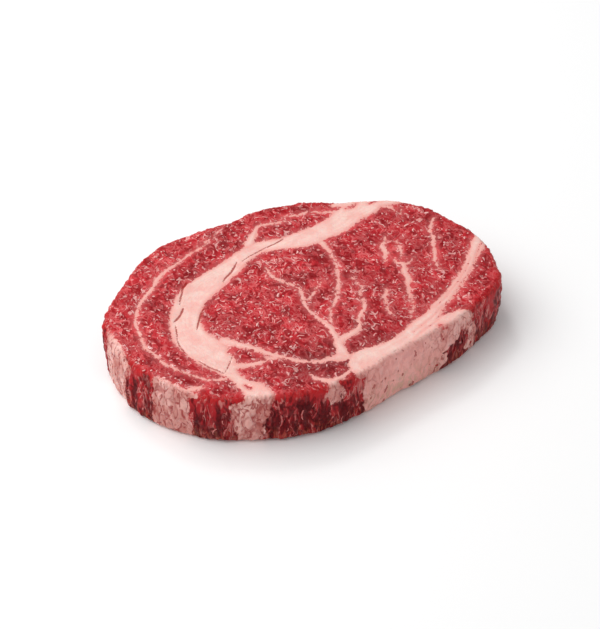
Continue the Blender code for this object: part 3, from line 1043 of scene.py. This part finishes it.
def fat_group(colours):
    """Fat: cream with pink clouds, pinker where it is thin; down the side it has reddish lines, upright
    dashes and a few pits, and its creases are darkened to red, partly its own red and partly painted shade."""
    wiring, entry, leave = new_group(
        "fat", (("Place", VECTOR), ("Side", FLOAT), ("Depth", FLOAT), ("Level", FLOAT), ("Cavity", FLOAT),
                ("Smooth", FLOAT)),
        (("Color", COLOUR), ("Height", FLOAT)))
    math_ = wiring.math
    side = entry.outputs["Side"]
    smooth = entry.outputs["Smooth"]
    even = wiring.grain_space(entry.outputs["Place"], 0, (1.0, 1.0, 0.55))
    bent = wiring.warp(even, 0.25, 4.0)
    clouds = wiring.noise(bent, 0.12, 3.0)
    mottle = wiring.noise(bent, 0.50, 3.0)
    fine = wiring.noise(even, 1.1, 3.0)
    flat = wiring.add("ShaderNodeSeparateXYZ", None, Vector=even).outputs
    along = wiring.add("ShaderNodeCombineXYZ", None, X=math_("MULTIPLY", entry.outputs["Depth"], 0.85),
                       Y=math_("MULTIPLY", flat["X"], 0.05), Z=math_("MULTIPLY", flat["Y"], 0.05)).outputs[0]
    streaks = wiring.noise(along, 1.0, 2.0)
    edge = wiring.step(entry.outputs["Depth"], -0.4, 2.6)
    cream = math_("MULTIPLY", edge, wiring.step(clouds, 0.36, 0.60, 0.55, 1.0))
    cream = math_("MULTIPLY", cream, wiring.step(mottle, 0.30, 0.55, 0.7, 1.0))
    cream = math_("MULTIPLY", cream, wiring.step(streaks, 0.38, 0.56, 0.80, 1.0))
    colour = wiring.mix(cream, colours.fat_pink, colours.fat_cream)
    away, draws = wiring.cells(bent, 0.30)
    lobe = math_("ADD", math_("MULTIPLY", draws[0], 0.75),
                 wiring.step(clouds, 0.38, 0.62, -0.25, 0.5), clamp=True)
    side_tone = wiring.mix(lobe, colours.side_fat_pink, colours.side_fat_light)
    smooth_tone = wiring.step(mottle, 0.38, 0.66, 0.0, 0.75)
    smooth_tone = wiring.mix(smooth_tone, colours.side_fat_smooth, colours.side_fat_rose)
    side_tone = wiring.mix(smooth, side_tone, smooth_tone)
    colour = wiring.mix(math_("MULTIPLY", side, 0.85), colour, side_tone)
    low = wiring.step(entry.outputs["Level"], 0.15, 0.75, 0.65, 0.0)
    straw = math_("MULTIPLY", math_("MULTIPLY", low, smooth), wiring.step(mottle, 0.42, 0.62))
    colour = wiring.mix(straw, colour, colours.side_fat_straw)
    # Partly painted shade: where the side fat lies deep in its creases it is darkened towards red.
    crease_shade = wiring.step(entry.outputs["Cavity"], 0.30, 0.95, 0.0, 0.60)
    broken = math_("MULTIPLY", wiring.step(mottle, 0.40, 0.54), math_("SUBTRACT", 1.0, smooth))
    lines = math_("MULTIPLY", wiring.walls(bent, 0.30, 0.14), broken)
    close = wiring.step(fine, 0.44, 0.60)
    dashes = math_("MULTIPLY", math_("MULTIPLY", wiring.walls(bent, 0.55, 0.09), close), broken)
    lines = math_("MULTIPLY", math_("MAXIMUM", lines, math_("MULTIPLY", dashes, 0.7)), side)
    pit_size = math_("MULTIPLY", wiring.step(draws[1], 0.56, 1.0, 0.0, 0.32),
                     wiring.step(fine, 0.30, 0.60, 0.3, 1.2))
    pits = math_("MULTIPLY", wiring.step(math_("SUBTRACT", pit_size, away), -0.02, 0.05), side)
    small_away, small_draws = wiring.cells(even, 0.45)
    speck = math_("SUBTRACT", wiring.step(small_draws[2], 0.74, 1.0, 0.0, 0.32), small_away)
    pits = math_("MAXIMUM", pits, math_("MULTIPLY", wiring.step(speck, -0.02, 0.06), side))
    # Red for the fat's own lines and pits, and partly painted shade for its creases.
    reddish = math_("MAXIMUM", crease_shade, math_("MULTIPLY", lines, 0.9))
    reddish = math_("MAXIMUM", reddish, math_("MULTIPLY", pits, 0.75))
    colour = wiring.mix(reddish, colour, colours.side_fat_red_and_shade)
    lobes = math_("MULTIPLY", wiring.walls(bent, 0.36, 0.10), 0.10)
    colour = wiring.mix(lobes, colour, colours.fat_pink)
    wiring.feed(leave.inputs["Color"], colour)
    height = math_("SUBTRACT", math_("MULTIPLY", fine, 0.12), math_("MULTIPLY", reddish, 0.7))
    height = math_("ADD", height, math_("MULTIPLY", streaks, 0.12))
    wiring.feed(leave.inputs["Height"], math_("SUBTRACT", height, math_("MULTIPLY", lobes, 1.5)))
    return wiring.tree


def slip_material(name, flank, dull, bright):
    """The colour of slips of fat: each has its own tone along the ridge, mottled by noise, and runs
    into the meat's colour down its flanks."""
    material = bpy.data.materials.new(name)
    material.use_nodes = True
    wiring = Wiring(material.node_tree)
    shader = material.node_tree.nodes["Principled BSDF"]
    place = wiring.grain_space(wiring.add("ShaderNodeTexCoord").outputs["Object"], 0, (1.0, 1.0, 1.0))
    mottle = wiring.noise(place, 0.9, 2.0)
    tone = wiring.math("POWER", wiring.field("tone"), 1.5)
    tone = wiring.math("ADD", tone, wiring.math("SUBTRACT", mottle, 0.5), clamp=True)
    ridge = wiring.math("ADD", wiring.field("crest"), wiring.math("SUBTRACT", mottle, 0.5))
    ridge = wiring.step(ridge, 0.35, 0.90)
    wiring.feed(shader.inputs["Base Color"], wiring.mix(ridge, flank, wiring.mix(tone, dull, bright)))
    wiring.feed(shader.inputs["Roughness"], wiring.step(mottle, 0.3, 0.7, 0.34, 0.50))
    shader.inputs["Specular IOR Level"].default_value = 0.12
    return material


def surface_material(groups, colours):
    """The steak's skin: fat where the fat field, frayed by noise, is above nothing, lean elsewhere."""
    material = bpy.data.materials.new("cut beef")
    material.use_nodes = True
    wiring = Wiring(material.node_tree)
    math_ = wiring.math
    shader = material.node_tree.nodes["Principled BSDF"]
    place = wiring.add("ShaderNodeTexCoord").outputs["Object"]
    fields = {name: wiring.field(name) for name in FIELDS}
    fat, side, level, cavity = (fields[name] for name in ("fat", "side", "level", "cavity"))
    lean_part = wiring.add("ShaderNodeGroup", {"node_tree": groups["lean"]}, Place=place, Side=side,
                           Tone=fields["tone"], Near=wiring.step(fat, -3.2, -0.2)).outputs
    side_part = wiring.add("ShaderNodeGroup", {"node_tree": groups["side"]}, Place=place, Level=level,
                           Cavity=cavity).outputs
    fat_part = wiring.add("ShaderNodeGroup", {"node_tree": groups["fat"]}, Place=place, Side=side, Depth=fat,
                          Level=level, Cavity=cavity, Smooth=fields["smooth"]).outputs
    frayed = wiring.grain_space(place, 0, (1.0, 1.0, 0.5))
    bent = wiring.warp(frayed, 0.4, 2.0)
    coarse = wiring.noise(bent, 0.42, 2.0)
    close = wiring.noise(bent, 1.3, 2.0)
    fray = math_("ADD", math_("MULTIPLY", math_("SUBTRACT", coarse, 0.5), 3.6),
                 math_("MULTIPLY", math_("SUBTRACT", close, 0.5), 2.2))
    soft = wiring.step(coarse, 0.35, 0.65, 0.25, 0.70)
    is_fat = wiring.step(math_("ADD", fat, fray), math_("MULTIPLY", soft, -1.0), soft)
    lean_colour = wiring.mix(side, lean_part["Color"], side_part["Color"])
    # Painted light: a brighter red along the upper rim stands for light coming through the thin meat there.
    rim = math_("MULTIPLY", fields["rim"], wiring.step(close, 0.40, 0.62, 0.05, 0.75))
    lean_colour = wiring.mix(rim, lean_colour, colours.rim_lit_red)
    colour = wiring.mix(is_fat, lean_colour, fat_part["Color"])
    cut = wiring.step(math_("ADD", fields["split"], math_("MULTIPLY", math_("SUBTRACT", close, 0.5), 0.8)),
                      -0.30, 0.14)
    colour = wiring.mix(math_("MULTIPLY", cut, 0.82), colour, colours.crack_red)
    wiring.feed(shader.inputs["Base Color"], colour)
    wet = wiring.step(math_("ADD", coarse, math_("MULTIPLY", close, 0.6)), 0.80, 0.98, 0.0, 0.9)
    lean_side = math_("MULTIPLY", side, math_("SUBTRACT", 1.0, is_fat))
    dull = math_("MAXIMUM", math_("MULTIPLY", lean_side, 0.75), cut)
    wet = math_("MULTIPLY", wet, math_("SUBTRACT", 1.0, dull))
    wiring.feed(shader.inputs["Roughness"], 0.5)
    wiring.feed(shader.inputs["Coat Weight"], wet)
    lean_height = wiring.mix(side, lean_part["Height"], side_part["Height"])
    height = wiring.mix(is_fat, lean_height, fat_part["Height"])
    bump = wiring.add("ShaderNodeBump", None, Height=height, Strength=0.5, Distance=0.0006)
    wiring.feed(shader.inputs["Normal"], bump.outputs[0])
    shader.inputs["Specular IOR Level"].default_value = 0.08
    shader.inputs["Coat Roughness"].default_value = 0.15
    shader.inputs["Subsurface Weight"].default_value = 0.12
    shader.inputs["Subsurface Radius"].default_value = (1.0, 0.25, 0.15)
    shader.inputs["Subsurface Scale"].default_value = 0.0015
    return material


# ================================================================ properties
class SteakShape(bpy.types.PropertyGroup):
    """Sizes of the steak's form that its maker would change."""
    thickness: bpy.props.FloatProperty(
        name="Thickness", description="Height of the side in millimetres", min=5.0,
        default=float(BOX_HIGH[2] - BOX_LOW[2]) / MM)
    rim_top: bpy.props.FloatProperty(
        name="Upper rim", description="Radius of the upper rim in millimetres", default=2.4, min=0.5)
    rim_bottom: bpy.props.FloatProperty(
        name="Lower rim", description="Radius of the lower rim in millimetres", default=2.2, min=0.5)


def colour(name, description, default):
    """A colour setting: its name, where it shows, and its default."""
    return bpy.props.FloatVectorProperty(
        name=name, description=description, subtype="COLOR", size=3, min=0.0, max=1.0, default=default)


class SteakColours(bpy.types.PropertyGroup):
    """Colours of the lean, the fat and the marbling."""
    lean_dark: colour("Lean, dark", "Darkest bundles of fibre", (0.270, 0.003, 0.007))
    lean_mid: colour("Lean, middle", "Main red of the cut face", (0.475, 0.014, 0.022))
    lean_light: colour("Lean, light", "Walls between the bundles of fibre", (0.660, 0.145, 0.145))
    marbling: colour("Marbling", "Painted threads and flecks in the lean", (0.850, 0.430, 0.405))
    fleck_dull: colour("Flecks, dull", "Dullest raised flecks", (0.700, 0.240, 0.228))
    fleck_bright: colour("Flecks, bright", "Brightest raised flecks", (0.880, 0.520, 0.490))
    strand_dull: colour("Strands, dull", "Dullest strands down the side", (0.330, 0.035, 0.038))
    strand_bright: colour("Strands, bright", "Brightest strands down the side", (0.660, 0.260, 0.235))
    fat_cream: colour("Fat, cream", "Thick fat on the cut face", (0.880, 0.605, 0.540))
    fat_pink: colour("Fat, pink", "Thin fat on the cut face", (0.830, 0.355, 0.315))
    crack_red: colour("Splits", "Splits in the fat", (0.330, 0.022, 0.016))
    side_dark: colour("Side lean, dark", "Darkest lean down the side", (0.105, 0.003, 0.006))
    side_red: colour("Side lean, red", "Main red down the side", (0.430, 0.016, 0.022))
    side_pale: colour("Side lean, pale", "Pale strands painted down the side", (0.660, 0.250, 0.228))
    side_fat_pink: colour("Side fat, pink", "Darker lobes of the side fat", (0.540, 0.165, 0.140))
    side_fat_light: colour("Side fat, light", "Lighter lobes of the side fat", (0.850, 0.450, 0.400))
    side_fat_smooth: colour("Side fat, smooth", "The smooth stretch of the side fat", (0.880, 0.400, 0.360))
    side_fat_rose: colour("Side fat, rose", "Clouds in the smooth stretch", (0.700, 0.260, 0.240))
    # The fat's own red lines and pits, and painted shade in its creases.
    side_fat_red_and_shade: colour("Side fat, red", "Creases and pits in the side fat", (0.340, 0.030, 0.028))
    side_fat_straw: colour("Side fat, straw", "Yellowed foot of the smooth stretch", (0.640, 0.430, 0.300))
    # Painted light: the brighter red of the lit upper rim.
    rim_lit_red: colour("Rim", "Lean along the upper rim", (0.560, 0.018, 0.020))
    side_brown: colour("Side, brown", "Brown stain near the foot of the lean", (0.330, 0.110, 0.055))
    # Painted shade laid in the hollows of the lean down the side.
    crevice_shade: colour("Crevices", "Hollows in the lean down the side", (0.060, 0.003, 0.005))


class SteakStage(bpy.types.PropertyGroup):
    """Where the camera stands, and the floor's colour."""
    azimuth: bpy.props.FloatProperty(
        name="Azimuth", description="Camera heading", subtype="ANGLE", default=math.radians(-23.6))
    elevation: bpy.props.FloatProperty(
        name="Elevation", description="Camera height angle", subtype="ANGLE", default=math.radians(42.6))
    distance: bpy.props.FloatProperty(
        name="Distance", description="Camera to steak", unit="LENGTH", default=0.798)
    aim: bpy.props.FloatVectorProperty(
        name="Aim", description="Point looked at, from the steak's middle", subtype="TRANSLATION",
        size=3, default=(-0.00225, -0.00165, 0.0))
    floor_colour: bpy.props.FloatVectorProperty(
        name="Floor", description="Floor colour", subtype="COLOR", size=3, default=(0.97, 0.97, 0.97))


# ================================================================ operators
class STEAK_OT_body(bpy.types.Operator):
    """Make the steak's closed surface with its fields and finish"""
    bl_idname = "steak.body"
    bl_label = "Steak Body"

    def execute(self, context):
        shell = build_shell(context.scene.steak_shape)
        points, outward, _ = place_points(shell)
        fields = steak_fields(shell, points)
        height, cavity = relief(points, fields)
        points = points + outward * height[:, None]
        points[:, 2] = np.maximum(points[:, 2], 0.0)
        fields["cavity"] = cavity
        colours = context.scene.steak_colours
        groups = {"lean": lean_group(colours), "side": side_lean_group(colours),
                  "fat": fat_group(colours)}
        places = flat_map(shell, points)
        piece = new_piece("steak_body", points, shell.faces, places, surface_material(groups, colours))
        for name in FIELDS:
            add_field(piece, name, fields[name])
        claim(piece, "steak")
        return {"FINISHED"}


class STEAK_OT_slips(bpy.types.Operator):
    """Make the flecks of marbling on the upper face and the strands of fat down the lean side"""
    bl_idname = "steak.slips"
    bl_label = "Flecks and Strands"

    def execute(self, context):
        shape = context.scene.steak_shape
        colours = context.scene.steak_colours
        _, _, stretch = place_points(build_shell(shape))
        flecks = (colours.lean_light, colours.fleck_dull, colours.fleck_bright)
        strands = (colours.side_red, colours.strand_dull, colours.strand_bright)
        for name, maker, finish in (("steak_flecks", fleck_slips, flecks),
                                    ("steak_strands", strand_slips, strands)):
            points, faces, places, fields = maker(shape, stretch)
            piece = new_piece(name, points, faces, places, slip_material(name, *finish))
            for field, values in fields.items():
                add_field(piece, field, values)
            claim(piece)
        return {"FINISHED"}


class STEAK_OT_stage(bpy.types.Operator):
    """Set the pale floor, the soft lights and the camera"""
    bl_idname = "steak.stage"
    bl_label = "Steak Stage"

    def execute(self, context):
        stage = context.scene.steak_stage
        scene = context.scene
        mesh = bpy.data.meshes.new("floor")
        corners = [(x * FLOOR_HALF, y * FLOOR_HALF, -FLOOR_DROP)
                   for x, y in ((-1, -1), (1, -1), (1, 1), (-1, 1))]
        mesh.from_pydata(corners, [], [(0, 1, 2, 3)])
        floor = bpy.data.objects.new("floor", mesh)
        scene.collection.objects.link(floor)
        material = bpy.data.materials.new("floor")
        material.use_nodes = True
        shader = material.node_tree.nodes["Principled BSDF"]
        shader.inputs["Base Color"].default_value = (*stage.floor_colour, 1.0)
        shader.inputs["Roughness"].default_value = 0.9
        shader.inputs["Specular IOR Level"].default_value = 0.1
        mesh.materials.append(material)
        world = bpy.data.worlds.new("studio")
        world.use_nodes = True
        background = world.node_tree.nodes["Background"]
        background.inputs["Color"].default_value = (1.0, 1.0, 1.0, 1.0)
        background.inputs["Strength"].default_value = WORLD_STRENGTH
        scene.world = world
        for lamp in LAMPS:
            self.lamp(*lamp)
        self.camera(stage)
        scene.view_settings.view_transform = "Standard"
        return {"FINISHED"}

    def lamp(self, name, place, size, power):
        """A square soft light that faces the steak."""
        data = bpy.data.lights.new(name, "AREA")
        data.size = size
        data.energy = power
        lamp = bpy.data.objects.new(name, data)
        lamp.location = place
        lamp.rotation_euler = (-Vector(place)).to_track_quat("-Z", "Y").to_euler()
        bpy.context.scene.collection.objects.link(lamp)

    def camera(self, stage):
        """A long lens that looks down on the steak's front, as far off as the distance says."""
        middle = Vector((BOX_LOW + BOX_HIGH) / 2) + Vector(stage.aim)
        away = Vector((math.sin(stage.azimuth) * math.cos(stage.elevation),
                       -math.cos(stage.azimuth) * math.cos(stage.elevation), math.sin(stage.elevation)))
        data = bpy.data.cameras.new("camera")
        data.lens = LENS
        data.sensor_width = SENSOR_WIDTH
        camera = bpy.data.objects.new("camera", data)
        camera.location = middle + away * stage.distance
        camera.rotation_euler = (-away).to_track_quat("-Z", "Y").to_euler()
        bpy.context.scene.collection.objects.link(camera)
        bpy.context.scene.camera = camera


class STEAK_PT_panel(bpy.types.Panel):
    """Lists the steak's sizes and its making steps"""
    bl_label = "Raw Ribeye Steak"
    bl_idname = "STEAK_PT_panel"
    bl_space_type = "VIEW_3D"
    bl_region_type = "UI"
    bl_category = "Steak"

    def draw(self, context):
        scene = context.scene
        for group in (scene.steak_shape, scene.steak_colours, scene.steak_stage):
            for name in group.__annotations__:
                self.layout.prop(group, name)
        for operator in OPERATORS:
            self.layout.operator(operator.bl_idname)


OPERATORS = (STEAK_OT_stage, STEAK_OT_body, STEAK_OT_slips)
CLASSES = (SteakShape, SteakColours, SteakStage, *OPERATORS, STEAK_PT_panel)


def register():
    """Add the classes, and the scene's groups of sizes, colours and stage settings."""
    for cls in CLASSES:
        bpy.utils.register_class(cls)
    bpy.types.Scene.steak_shape = bpy.props.PointerProperty(type=SteakShape)
    bpy.types.Scene.steak_colours = bpy.props.PointerProperty(type=SteakColours)
    bpy.types.Scene.steak_stage = bpy.props.PointerProperty(type=SteakStage)


def unregister():
    """Take the settings and the classes away again, last first."""
    del bpy.types.Scene.steak_stage
    del bpy.types.Scene.steak_colours
    del bpy.types.Scene.steak_shape
    for cls in reversed(CLASSES):
        bpy.utils.unregister_class(cls)


def main():
    """Make the stage, the body and the slips in turn."""
    register()
    bpy.ops.steak.stage()
    bpy.ops.steak.body()
    bpy.ops.steak.slips()


if __name__ == "__main__":
    main()
